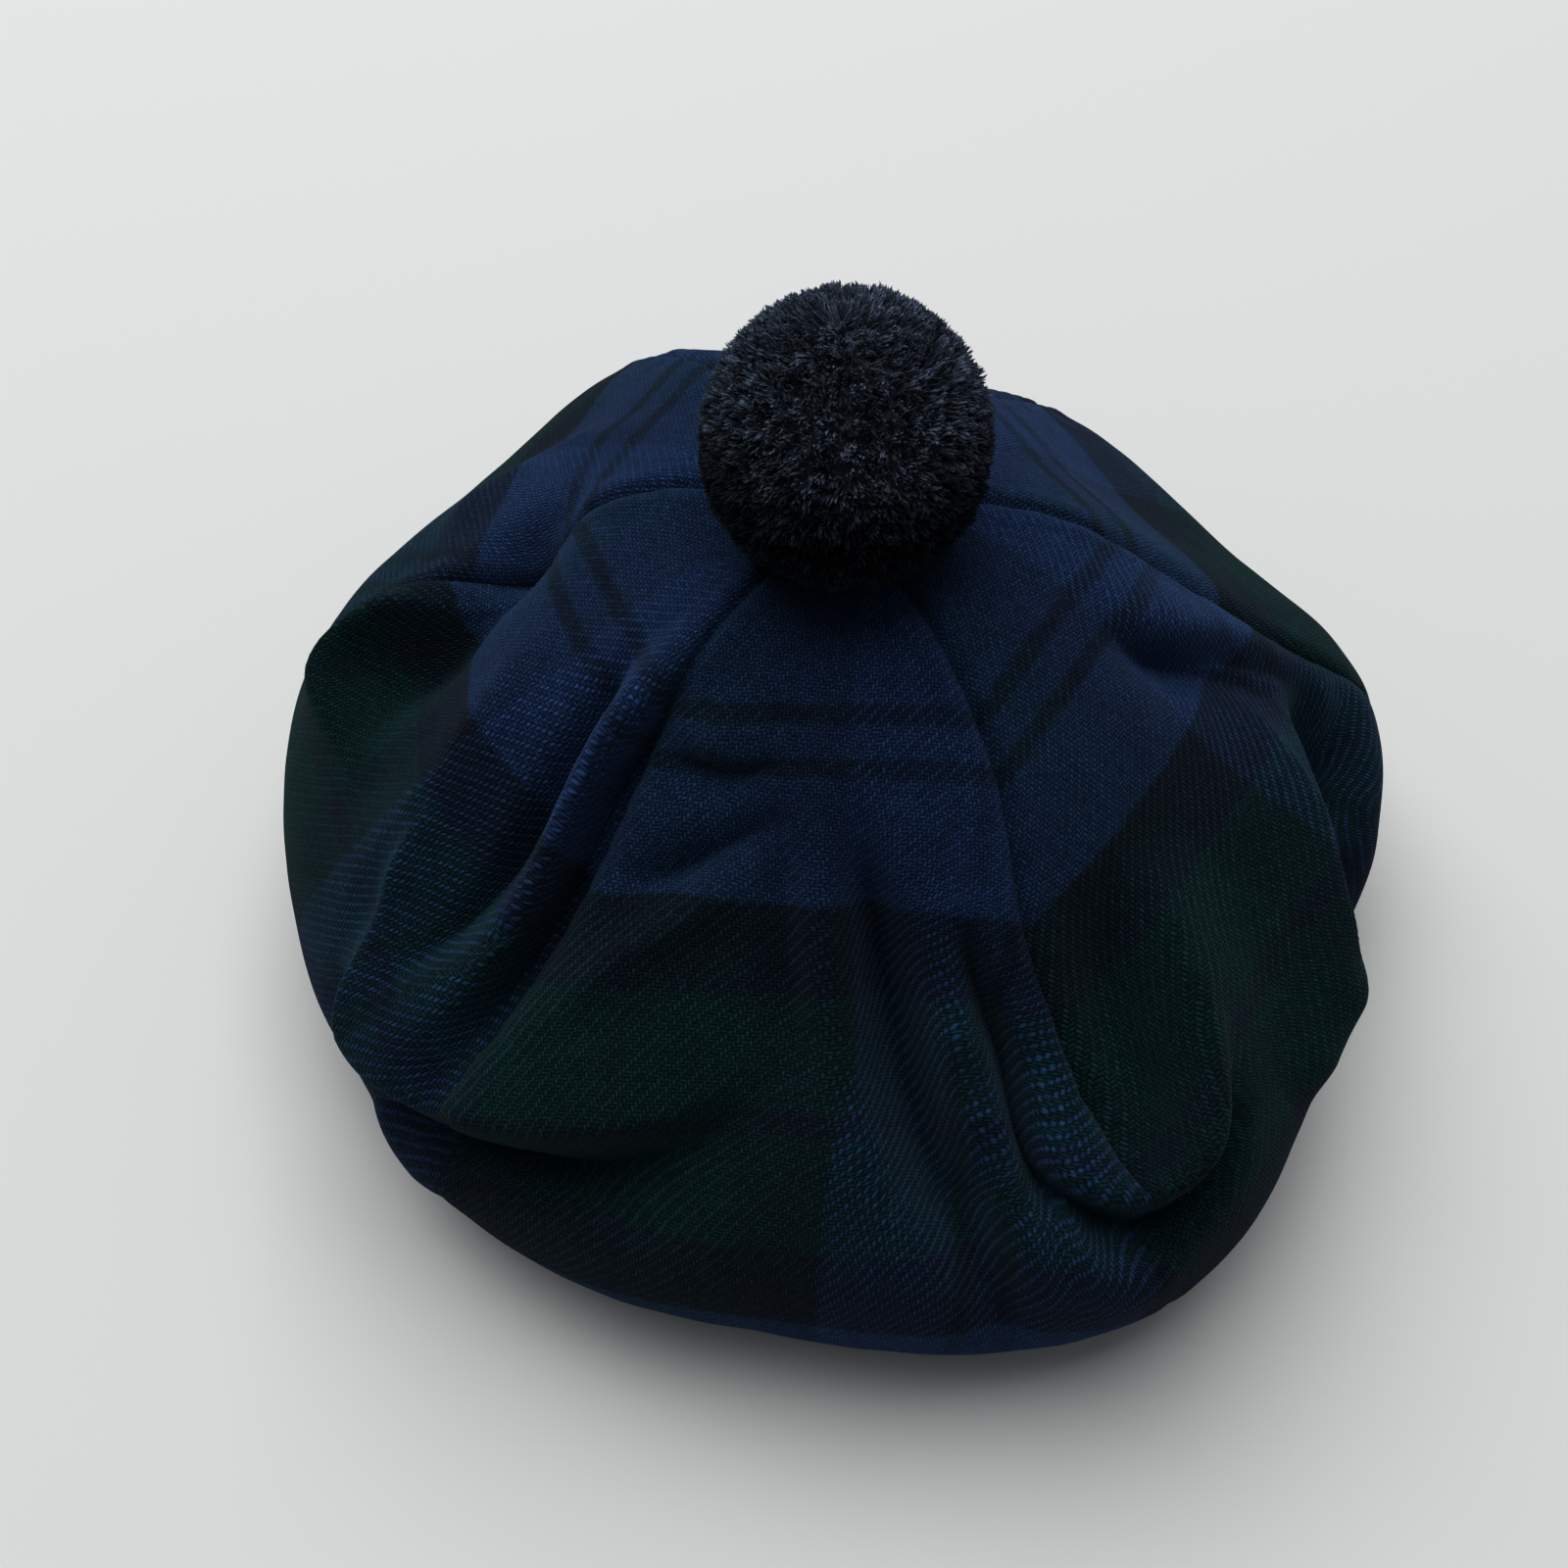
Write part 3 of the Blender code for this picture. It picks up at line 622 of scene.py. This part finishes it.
def wool(name, paint, thread, bump, sheen):
    """A wool twill. paint gives its colour from the material's tree and which thread is on top."""
    material, tree, shader = new_material(name)
    threads = tree.nodes.new("ShaderNodeUVMap")
    threads.uv_map = "threads"
    place = threads.outputs[0]
    parts = tree.nodes.new("ShaderNodeSeparateXYZ")
    tree.links.new(place, parts.inputs[0])
    stray = maths(tree, "SUBTRACT", noise_at(tree, place, STRAY_SCALE, 1.0), 0.5)
    across, along = (maths(tree, "MULTIPLY_ADD", stray, STRAY, parts.outputs[k]) for k in (0, 1))
    weave = placed(tree, TWILL, Across=across, Along=along, Thread=thread)
    fuzz = noise_at(tree, place, FUZZ_SCALE, 2.0)
    patch = noise_at(tree, place, PATCH_SCALE, 3.0)
    dyed = paint(tree, weave["Weft"])
    colour = shaded(
        tree,
        dyed,
        (weave["Shade"], 0.0, 1.0, 0.60, 1.00),  # each float its own
        (weave["Height"], 0.0, 1.0, 0.20, 1.35),  # painted shade between the threads, painted light on their tops
        (fuzz, 0.25, 0.75, 0.25, 1.75),
        (patch, 0.3, 0.7, 0.85, 1.15),
    )
    feed(tree, colour, shader.inputs["Base Color"])
    feed(tree, ranged(tree, fuzz, 0.3, 0.7, *WOOL_ROUGH), shader.inputs["Roughness"])
    shader.inputs["Specular IOR Level"].default_value = 0.06
    shader.inputs["Sheen Weight"].default_value = sheen
    shader.inputs["Sheen Roughness"].default_value = 0.45
    nap = mixed(tree, 1.0, dyed, NAP_BRIGHT, "MULTIPLY")
    feed(tree, mixed(tree, NAP_PALE_SHARE, nap, NAP_PALE), shader.inputs["Sheen Tint"])
    height = maths(tree, "MULTIPLY_ADD", fuzz, FUZZ_HEIGHT, weave["Height"])
    feed(tree, relief(tree, height, bump), shader.inputs["Normal"])
    return material


BLUE = (0.021, 0.049, 0.124, 1)
GREEN = (0.006, 0.031, 0.034, 1)
BLACK = (0.010, 0.018, 0.032, 1)
SETT_ACROSS = 0.0405  # where the blue stripe's middle lies across a gore, from the gore's middle
SETT_ALONG = 0.0605  # where it lies along a gore, from the apex
WARP_SEEN = (0.56, 0.86)  # share of the weft's colour seen on a warp float and on a weft float


def tartan(tree, weft):
    """Warp threads carry the stripes across a gore, and weft threads those along it."""
    cloth = tree.nodes.new("ShaderNodeUVMap")
    cloth.uv_map = "stripes"
    places = tree.nodes.new("ShaderNodeSeparateXYZ")
    tree.links.new(cloth.outputs[0], places.inputs[0])
    colours = []
    for place, middle in zip(places.outputs, (SETT_ACROSS, SETT_ALONG)):
        place = maths(tree, "SUBTRACT", place, middle)
        stripe = placed(tree, STRIPES, Place=place, Blue=BLUE, Green=GREEN, Black=BLACK)
        colours.append(stripe["Colour"])
    return mixed(tree, ranged(tree, weft, 0.0, 1.0, *WARP_SEEN), *colours)


TARTAN = wool("tartan wool", tartan, thread=THREAD, bump=0.00030, sheen=0.20)
DOWNWARD = (0, 0, -1)  # the way that the cloth's outer face looks where it is sewn to the band

CROWN = crown_grid()
for number, (node, columns) in enumerate(GORES.items()):
    middle, normals, laid, woven = gore_grid(number, columns, CROWN)
    normals[:, -1] = DOWNWARD
    outer = middle + normals * CLOTH / 2
    inner = middle - normals * CLOTH / 2
    for edge, inward in ((0, 1), (-1, -2)):
        shift = edge_shift(middle, normals, edge, inward)
        outer[edge] += shift
        inner[edge] += shift
    piece = cloth_between(node + "_cloth", outer, inner, {"stripes": laid, "threads": woven})
    piece.data.materials.append(TARTAN)
    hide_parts(node)
    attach(piece, "root")


# The headband: a straight strip of dark wool, doubled, joined at the back and sewn inside the
# crown's edge. It holds the hat to the head, and its lower edge carries the hat on the floor.
BAND_WALL = 0.0022
BAND_ROUND = 0.0009
BAND_STEPS = 240
BAND_FACE = 0.003  # about how high a face of its mesh is
BAND_JOIN = math.radians(90)  # the join is at the back
JOIN_DEPTH = 0.0004
JOIN_WIDTH = 0.0012
BAND_RIPPLES = 31
BAND_RIPPLE = 0.0002
BAND_WARP = (0.011, 0.013, 0.018, 1)
BAND_WEFT = (0.008, 0.009, 0.013, 1)


def band_section():
    """Points round the strip's section as (inward from the outside, height), with rounded edges."""
    points = []
    corners = (
        (BAND_ROUND, BAND_HEIGHT - BAND_ROUND, 90),
        (BAND_ROUND, BAND_ROUND, 180),
        (BAND_WALL - BAND_ROUND, BAND_ROUND, 270),
        (BAND_WALL - BAND_ROUND, BAND_HEIGHT - BAND_ROUND, 0),
    )
    for across, height, start in corners:
        for step in range(4):
            angle = math.radians(start + 30 * step)
            points.append((across + BAND_ROUND * math.cos(angle), height + BAND_ROUND * math.sin(angle)))
    section = []
    for k, point in enumerate(points):
        ahead = points[(k + 1) % len(points)]
        pieces = max(1, round(math.dist(point, ahead) / BAND_FACE))
        section += [
            tuple(p + (q - p) * step / pieces for p, q in zip(point, ahead)) for step in range(pieces)
        ]
    return section


def from_bmesh(name, bm):
    """The finished bmesh as an object in the scene."""
    mesh = bpy.data.meshes.new(name)
    bm.to_mesh(mesh)
    bm.free()
    return in_scene(name, mesh)


def headband_cloth():
    """The strip as a closed ring, with its threads' places round the ring and round the section."""
    section = band_section()
    bm = bmesh.new()
    laid = bm.loops.layers.uv.new("threads")
    rings = []
    for step in range(BAND_STEPS):
        turn = 2 * math.pi * step / BAND_STEPS
        from_join = abs((turn - BAND_JOIN + math.pi) % (2 * math.pi) - math.pi) * BAND_RADIUS
        join = -JOIN_DEPTH * math.exp(-((from_join / JOIN_WIDTH) ** 2))
        wave = BAND_RIPPLE * math.sin(turn * BAND_RIPPLES)
        ring = []
        for inward, height in section:
            ripple = wave * math.sin(math.pi * height / BAND_HEIGHT)
            radius = BAND_RADIUS - inward + join * (1 if inward < BAND_WALL / 2 else -1) + ripple
            ring.append(bm.verts.new((radius * math.cos(turn), radius * math.sin(turn), height)))
        rings.append(ring)
    length = 2 * math.pi * BAND_RADIUS / BAND_STEPS
    around = [0.0]
    for k in range(len(section)):
        around.append(around[-1] + math.dist(section[k], section[(k + 1) % len(section)]))
    for step in range(BAND_STEPS):
        ring, ahead = rings[step], rings[(step + 1) % BAND_STEPS]
        for k in range(len(section)):
            after = (k + 1) % len(section)
            face = bm.faces.new((ring[k], ring[after], ahead[after], ahead[k]))
            face.smooth = True
            for loop, (column, row) in zip(face.loops, ((0, 0), (0, 1), (1, 1), (1, 0))):
                loop[laid].uv = ((step + column) * length, around[k + row])
    bmesh.ops.recalc_face_normals(bm, faces=bm.faces[:])
    bmesh.ops.translate(bm, verts=bm.verts[:], vec=BAND_CENTRE)
    return from_bmesh("headband_cloth", bm)


def plain_dark(tree, weft):
    return mixed(tree, weft, BAND_WARP, BAND_WEFT)


band = headband_cloth()
band.data.materials.append(wool("headband wool", plain_dark, thread=0.0006, bump=0.0002, sheen=0.15))
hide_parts("headband")
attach(band, "root")


# The pompom: some two thousand cut ends of soft black yarn with finer fibres between them, tied
# through the middle and trimmed to a ball. The tie runs down through the apex, and the yarn parts
# where it comes out.
POMPOM_RISE = 0.0300  # from the ball's centre to its top
POMPOM_CENTRE = Vector((0.0, 0.0066, 0.0)) + Vector(BAND_CENTRE)
POMPOM_CENTRE.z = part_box("pompom")[1].z - POMPOM_RISE
PARTING = Vector((-0.08, 0.05, 0.99)).normalized()  # the tie's axis, where the yarn parts
PARTING_FROM = 0.78  # cosine of the angle from the tie within which the yarn leans away
CORE_RADIUS = 0.0258
CORE_DETAIL = 5
YARN_LENGTH = 0.0048  # from the core to the ball's surface
YARN_SURFACE = CORE_RADIUS + YARN_LENGTH
BULGE_WIDER = 0.06  # the ball sags, and grows wider by this share of its radius
BULGE_AT = math.radians(-35)  # at this height
BULGE_SPREAD = math.radians(32)
LOCK_SCALE = 330.0  # waves to the metre of the yarn's locks, which part a little from each other
FIBRE_SCALE = 2400.0  # and of its fibres
FIBRE_RELIEF = 0.0003
YARN_DARK = (0.105, 0.130, 0.180, 1)
YARN_ROUGH = (0.85, 1.0)
YARN_DEEP_SHADE = 0.60  # painted shade: brightness of the yarn deep between the locks beside that at the surface
YARN_DEPTH = 0.0035  # depth at which it is that dark
YARN_LOWER_SHADE = 0.16  # painted shade: brightness of the yarn low on the ball beside that on top
YARN_SHADED_UP_TO = -0.004  # height over the ball's centre up to which it is that dark
YARN_LIT_FROM = 0.015  # and from which it is as bright as on top


def vector_maths(tree, operation, *values):
    """A vector, or the number that LENGTH and DOT_PRODUCT give."""
    node = tree.nodes.new("ShaderNodeVectorMath")
    node.operation = operation
    sockets = (node.inputs[0], node.inputs["Scale"]) if operation == "SCALE" else node.inputs
    for value, socket in zip(values, sockets):
        feed(tree, value, socket)
    return node.outputs["Value" if operation in ("LENGTH", "DOT_PRODUCT") else "Vector"]


def yarn_material():
    """Soft dark yarn, with painted shade between its locks, deep in the ball and on its lower part."""
    material, tree, shader = new_material("pompom yarn")
    place = tree.nodes.new("ShaderNodeTexCoord").outputs["Object"]
    from_centre = vector_maths(tree, "SUBTRACT", place, POMPOM_CENTRE)
    outward = vector_maths(tree, "NORMALIZE", from_centre)
    root = vector_maths(tree, "MULTIPLY_ADD", outward, (CORE_RADIUS,) * 3, POMPOM_CENTRE)
    depth = vector_maths(tree, "LENGTH", from_centre)
    height = tree.nodes.new("ShaderNodeSeparateXYZ")
    tree.links.new(from_centre, height.inputs[0])
    fine = noise_at(tree, place, FIBRE_SCALE, 3.0)
    coarse = noise_at(tree, root, LOCK_SCALE, 1.0)
    colour = shaded(
        tree,
        YARN_DARK,
        (fine, 0.3, 0.7, 0.65, 1.35),
        # painted shade where the locks sink into hollows, painted light where they stand tallest
        (coarse, 0.38, 0.62, 0.5, 1.25),
        # painted shade deeper in the yarn
        (depth, YARN_SURFACE - YARN_DEPTH, YARN_SURFACE, YARN_DEEP_SHADE, 1.0),
        # painted shade, darker toward the bottom of the ball
        (height.outputs["Z"], YARN_SHADED_UP_TO, YARN_LIT_FROM, YARN_LOWER_SHADE, 1.0),
    )
    feed(tree, colour, shader.inputs["Base Color"])
    feed(tree, ranged(tree, fine, 0.3, 0.7, *YARN_ROUGH), shader.inputs["Roughness"])
    shader.inputs["Specular IOR Level"].default_value = 0.05
    feed(tree, relief(tree, fine, FIBRE_RELIEF), shader.inputs["Normal"])
    return material


FIBRE_TURN = 0.9  # angle by which a fibre's tip lies at most aside from the way that its foot does
FIBRE_SHORTEST = 0.86  # length of the shortest fibre beside the longest
FIBRE_BEND = 0.84  # share of its length at which a fibre bends
FIBRE_BENT = 0.08  # how far it is bent aside there
FIBRE_FOOT = 0.8  # width of its foot beside that at the bend


def fibre_bundle(seed, count, spread, splay, width):
    """Fine fibres about 1 long that stand along Z from one place, each bent once and cut off."""
    draw = random.Random(seed)
    points, faces = [], []

    def flat(angle):
        return Vector((math.cos(angle), math.sin(angle), 0))

    for _ in range(count):
        way, out = draw.uniform(0, 2 * math.pi), math.sqrt(draw.uniform(0, 1))
        foot = flat(way) * spread * out
        way += draw.uniform(-FIBRE_TURN, FIBRE_TURN)
        tip = foot + flat(way) * splay * draw.uniform(0.2, 1)
        tip.z = draw.uniform(FIBRE_SHORTEST, 1.0)
        aside = Vector((draw.uniform(-1, 1), draw.uniform(-1, 1), 0))
        bend = foot.lerp(tip, FIBRE_BEND) + aside * FIBRE_BENT
        first = len(points)
        for middle, size in ((foot, FIBRE_FOOT), (bend, 1.0)):
            points += [middle + flat(2 * math.pi * side / 3 + way) * width * size for side in range(3)]
        points.append(tip)
        for side in range(3):
            after = (side + 1) % 3
            faces.append((first + side, first + after, first + 3 + after, first + 3 + side))
            faces.append((first + 3 + side, first + 3 + after, first + 6))
        faces.append((first + 2, first + 1, first))
    mesh = bpy.data.meshes.new("fibres")
    mesh.from_pydata(points, [], faces)
    return in_scene("fibres", mesh)


def tufted(name, base, stubs, material, sizes, seed):
    """A mesh with one of the stubs on each point of a random spread over the base."""
    tree = bpy.data.node_groups.new(name, "GeometryNodeTree")
    tree.interface.new_socket("Geometry", in_out="INPUT", socket_type="NodeSocketGeometry")
    named = {}
    for label, value in sizes.items():
        kind = "NodeSocketVector" if isinstance(value, Vector) else "NodeSocketFloat"
        named[label] = tree.interface.new_socket(label, in_out="INPUT", socket_type=kind)
    tree.interface.new_socket("Geometry", in_out="OUTPUT", socket_type="NodeSocketGeometry")
    add = tree.nodes.new
    start, end = add("NodeGroupInput"), add("NodeGroupOutput")
    given = start.outputs

    def draw(number, low, high):
        """A random number between low and high for each point, or a vector if they are vectors."""
        vector = isinstance(low, tuple)
        node = add("FunctionNodeRandomValue")
        node.data_type = "FLOAT_VECTOR" if vector else "FLOAT"
        first = 0 if vector else 2
        feed(tree, low, node.inputs[first])
        feed(tree, high, node.inputs[first + 1])
        node.inputs["Seed"].default_value = seed + number
        return node.outputs[0 if vector else 1]

    spread = add("GeometryNodeDistributePointsOnFaces")
    spread.distribute_method = "POISSON"
    tree.links.new(given["Geometry"], spread.inputs["Mesh"])
    tree.links.new(given["Apart"], spread.inputs["Distance Min"])
    tree.links.new(given["Crowding"], spread.inputs["Density Max"])
    spread.inputs["Seed"].default_value = seed
    join = add("GeometryNodeJoinGeometry")
    for stub in stubs:
        info = add("GeometryNodeObjectInfo")
        info.inputs["Object"].default_value = stub
        info.inputs["As Instance"].default_value = True
        tree.links.new(info.outputs["Geometry"], join.inputs[0])
    outward = spread.outputs["Normal"]
    cosine = vector_maths(tree, "DOT_PRODUCT", outward, given["Parting"])
    beside = vector_maths(tree, "SCALE", outward, cosine)
    away = vector_maths(tree, "NORMALIZE", vector_maths(tree, "SUBTRACT", beside, given["Parting"]))
    lean = maths(tree, "MULTIPLY", ranged(tree, cosine, PARTING_FROM, 1.0), given["Parting Lean"])
    tilt = vector_maths(tree, "SCALE", draw(1, (-1, -1, -1), (1, 1, 1)), given["Tilt"])
    leaning = vector_maths(tree, "ADD", outward, vector_maths(tree, "SCALE", away, lean))
    heading = vector_maths(tree, "ADD", leaning, tilt)
    aim = add("FunctionNodeAlignRotationToVector")
    aim.axis = "Z"
    tree.links.new(heading, aim.inputs["Vector"])
    spin = add("FunctionNodeRotateRotation")
    spin.rotation_space = "LOCAL"
    tree.links.new(aim.outputs[0], spin.inputs[0])
    angles = add("ShaderNodeCombineXYZ")
    tree.links.new(draw(2, 0.0, 2 * math.pi), angles.inputs[2])
    turn = add("FunctionNodeEulerToRotation")
    tree.links.new(angles.outputs[0], turn.inputs[0])
    tree.links.new(turn.outputs[0], spin.inputs[1])
    spot = add("GeometryNodeInputPosition").outputs[0]
    locks = ranged(tree, noise_at(tree, spot, LOCK_SCALE, 1.0), 0.35, 0.65, given["Hollows"], 1.0)
    size = maths(tree, "MULTIPLY", draw(3, given["Shortest"], 1.0), locks)
    size = maths(tree, "MULTIPLY", size, given["Length"])
    put = add("GeometryNodeInstanceOnPoints")
    tree.links.new(spread.outputs["Points"], put.inputs["Points"])
    tree.links.new(join.outputs[0], put.inputs["Instance"])
    put.inputs["Pick Instance"].default_value = True
    tree.links.new(spin.outputs[0], put.inputs["Rotation"])
    tree.links.new(size, put.inputs["Scale"])
    real = add("GeometryNodeRealizeInstances")
    tree.links.new(put.outputs[0], real.inputs[0])
    paint = add("GeometryNodeSetMaterial")
    paint.inputs["Material"].default_value = material
    tree.links.new(real.outputs[0], paint.inputs[0])
    tree.links.new(paint.outputs[0], end.inputs[0])

    grown = base.modifiers.new(name, "NODES")
    grown.node_group = tree
    for label, value in sizes.items():
        grown[named[label].identifier] = value
    seen = base.evaluated_get(bpy.context.evaluated_depsgraph_get())
    mesh = bpy.data.meshes.new_from_object(seen)
    base.modifiers.remove(grown)
    return in_scene(name, mesh)


def pompom_core():
    """The ball that the yarn stands on, sagging a little under its own weight."""
    bm = bmesh.new()
    bmesh.ops.create_icosphere(bm, subdivisions=CORE_DETAIL, radius=CORE_RADIUS)
    for corner in bm.verts:
        above = math.asin(max(-1.0, min(1.0, corner.co.z / CORE_RADIUS)))
        corner.co *= 1 + BULGE_WIDER * math.exp(-(((above - BULGE_AT) / BULGE_SPREAD) ** 2))
    bmesh.ops.translate(bm, verts=bm.verts[:], vec=POMPOM_CENTRE)
    ball = from_bmesh("pompom_core", bm)
    ball.data.shade_smooth()
    return ball


YARN = yarn_material()
core = pompom_core()
core.data.materials.append(YARN)
STUB_KINDS = 7
tufts = [fibre_bundle(k, count=6, spread=0.15, splay=0.16, width=0.060) for k in range(STUB_KINDS)]
strands = [fibre_bundle(20 + k, count=1, spread=0.0, splay=0.30, width=0.032) for k in range(STUB_KINDS)]
STANDING = {
    "Crowding": 3.0e6,
    "Length": YARN_LENGTH,
    "Hollows": 0.84,
    "Parting": PARTING,
    "Parting Lean": 0.9,
}
TUFTS = {"Apart": 0.00172, "Shortest": 0.90, "Tilt": 0.50, **STANDING}
STRANDS = {"Apart": 0.0006, "Shortest": 0.80, "Tilt": 0.60, **STANDING}
yarn = tufted("pompom_yarn", core, tufts, YARN, TUFTS, seed=4)
fuzz = tufted("pompom_fuzz", core, strands, YARN, STRANDS, seed=11)
for stub in tufts + strands:
    bpy.data.objects.remove(stub)
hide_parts("pompom")
for piece in (core, yarn, fuzz):
    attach(piece, "root")


# The floor that the hat lies on is plain, pale and matt, and so large that it fills the whole
# picture from the front.
FLOOR_SIZE = 6.0
FLOOR_PALE = (0.475, 0.475, 0.468, 1)
bm = bmesh.new()
bmesh.ops.create_grid(bm, x_segments=1, y_segments=1, size=FLOOR_SIZE / 2)
floor = from_bmesh("floor", bm)
pale_floor, _, shader = new_material("pale floor")
shader.inputs["Base Color"].default_value = FLOOR_PALE
shader.inputs["Roughness"].default_value = 0.85
floor.data.materials.append(pale_floor)


# One large soft light hangs high over the hat, behind it and a little to the left as one faces
# the hat's front, and the cool light of the room fills in the rest.
LIGHT_PLACE = Vector((-0.6, 1.6, 4.2))
LIGHT_AIM = Vector((0, 0, 0.06))
LIGHT_SIZE = 5.4
LIGHT_POWER = 400
ROOM_COLOUR = (0.90, 0.95, 1.0, 1)
ROOM_STRENGTH = 0.37
light = bpy.data.lights.new("key light", "AREA")
light.size = LIGHT_SIZE
light.energy = LIGHT_POWER
lamp = in_scene("key light", light)
lamp.location = LIGHT_PLACE
lamp.rotation_euler = (LIGHT_AIM - LIGHT_PLACE).to_track_quat("-Z", "Y").to_euler()
room = bpy.data.worlds.new("room")
room.use_nodes = True
room.node_tree.nodes["Background"].inputs["Color"].default_value = ROOM_COLOUR
room.node_tree.nodes["Background"].inputs["Strength"].default_value = ROOM_STRENGTH
bpy.context.scene.world = room


# The camera looks down on the hat's front from close by, as someone would who bends over it,
# and its picture keeps the shadows between the folds deep.
CAMERA_PLACE = (-0.0125, -0.2331, 0.3694)
CAMERA_DOWN = math.radians(53.8)
CAMERA_LENS = 36.07
CAMERA_SENSOR = 36
VIEW_GAMMA = 0.76
camera = in_scene("camera", bpy.data.cameras.new("camera"))
camera.data.lens = CAMERA_LENS
camera.data.sensor_width = CAMERA_SENSOR
camera.data.clip_start = 0.01
camera.location = CAMERA_PLACE
camera.rotation_euler = (math.pi / 2 - CAMERA_DOWN, 0, 0)
bpy.context.scene.camera = camera
bpy.context.scene.view_settings.view_transform = "Standard"
bpy.context.scene.view_settings.gamma = VIEW_GAMMA
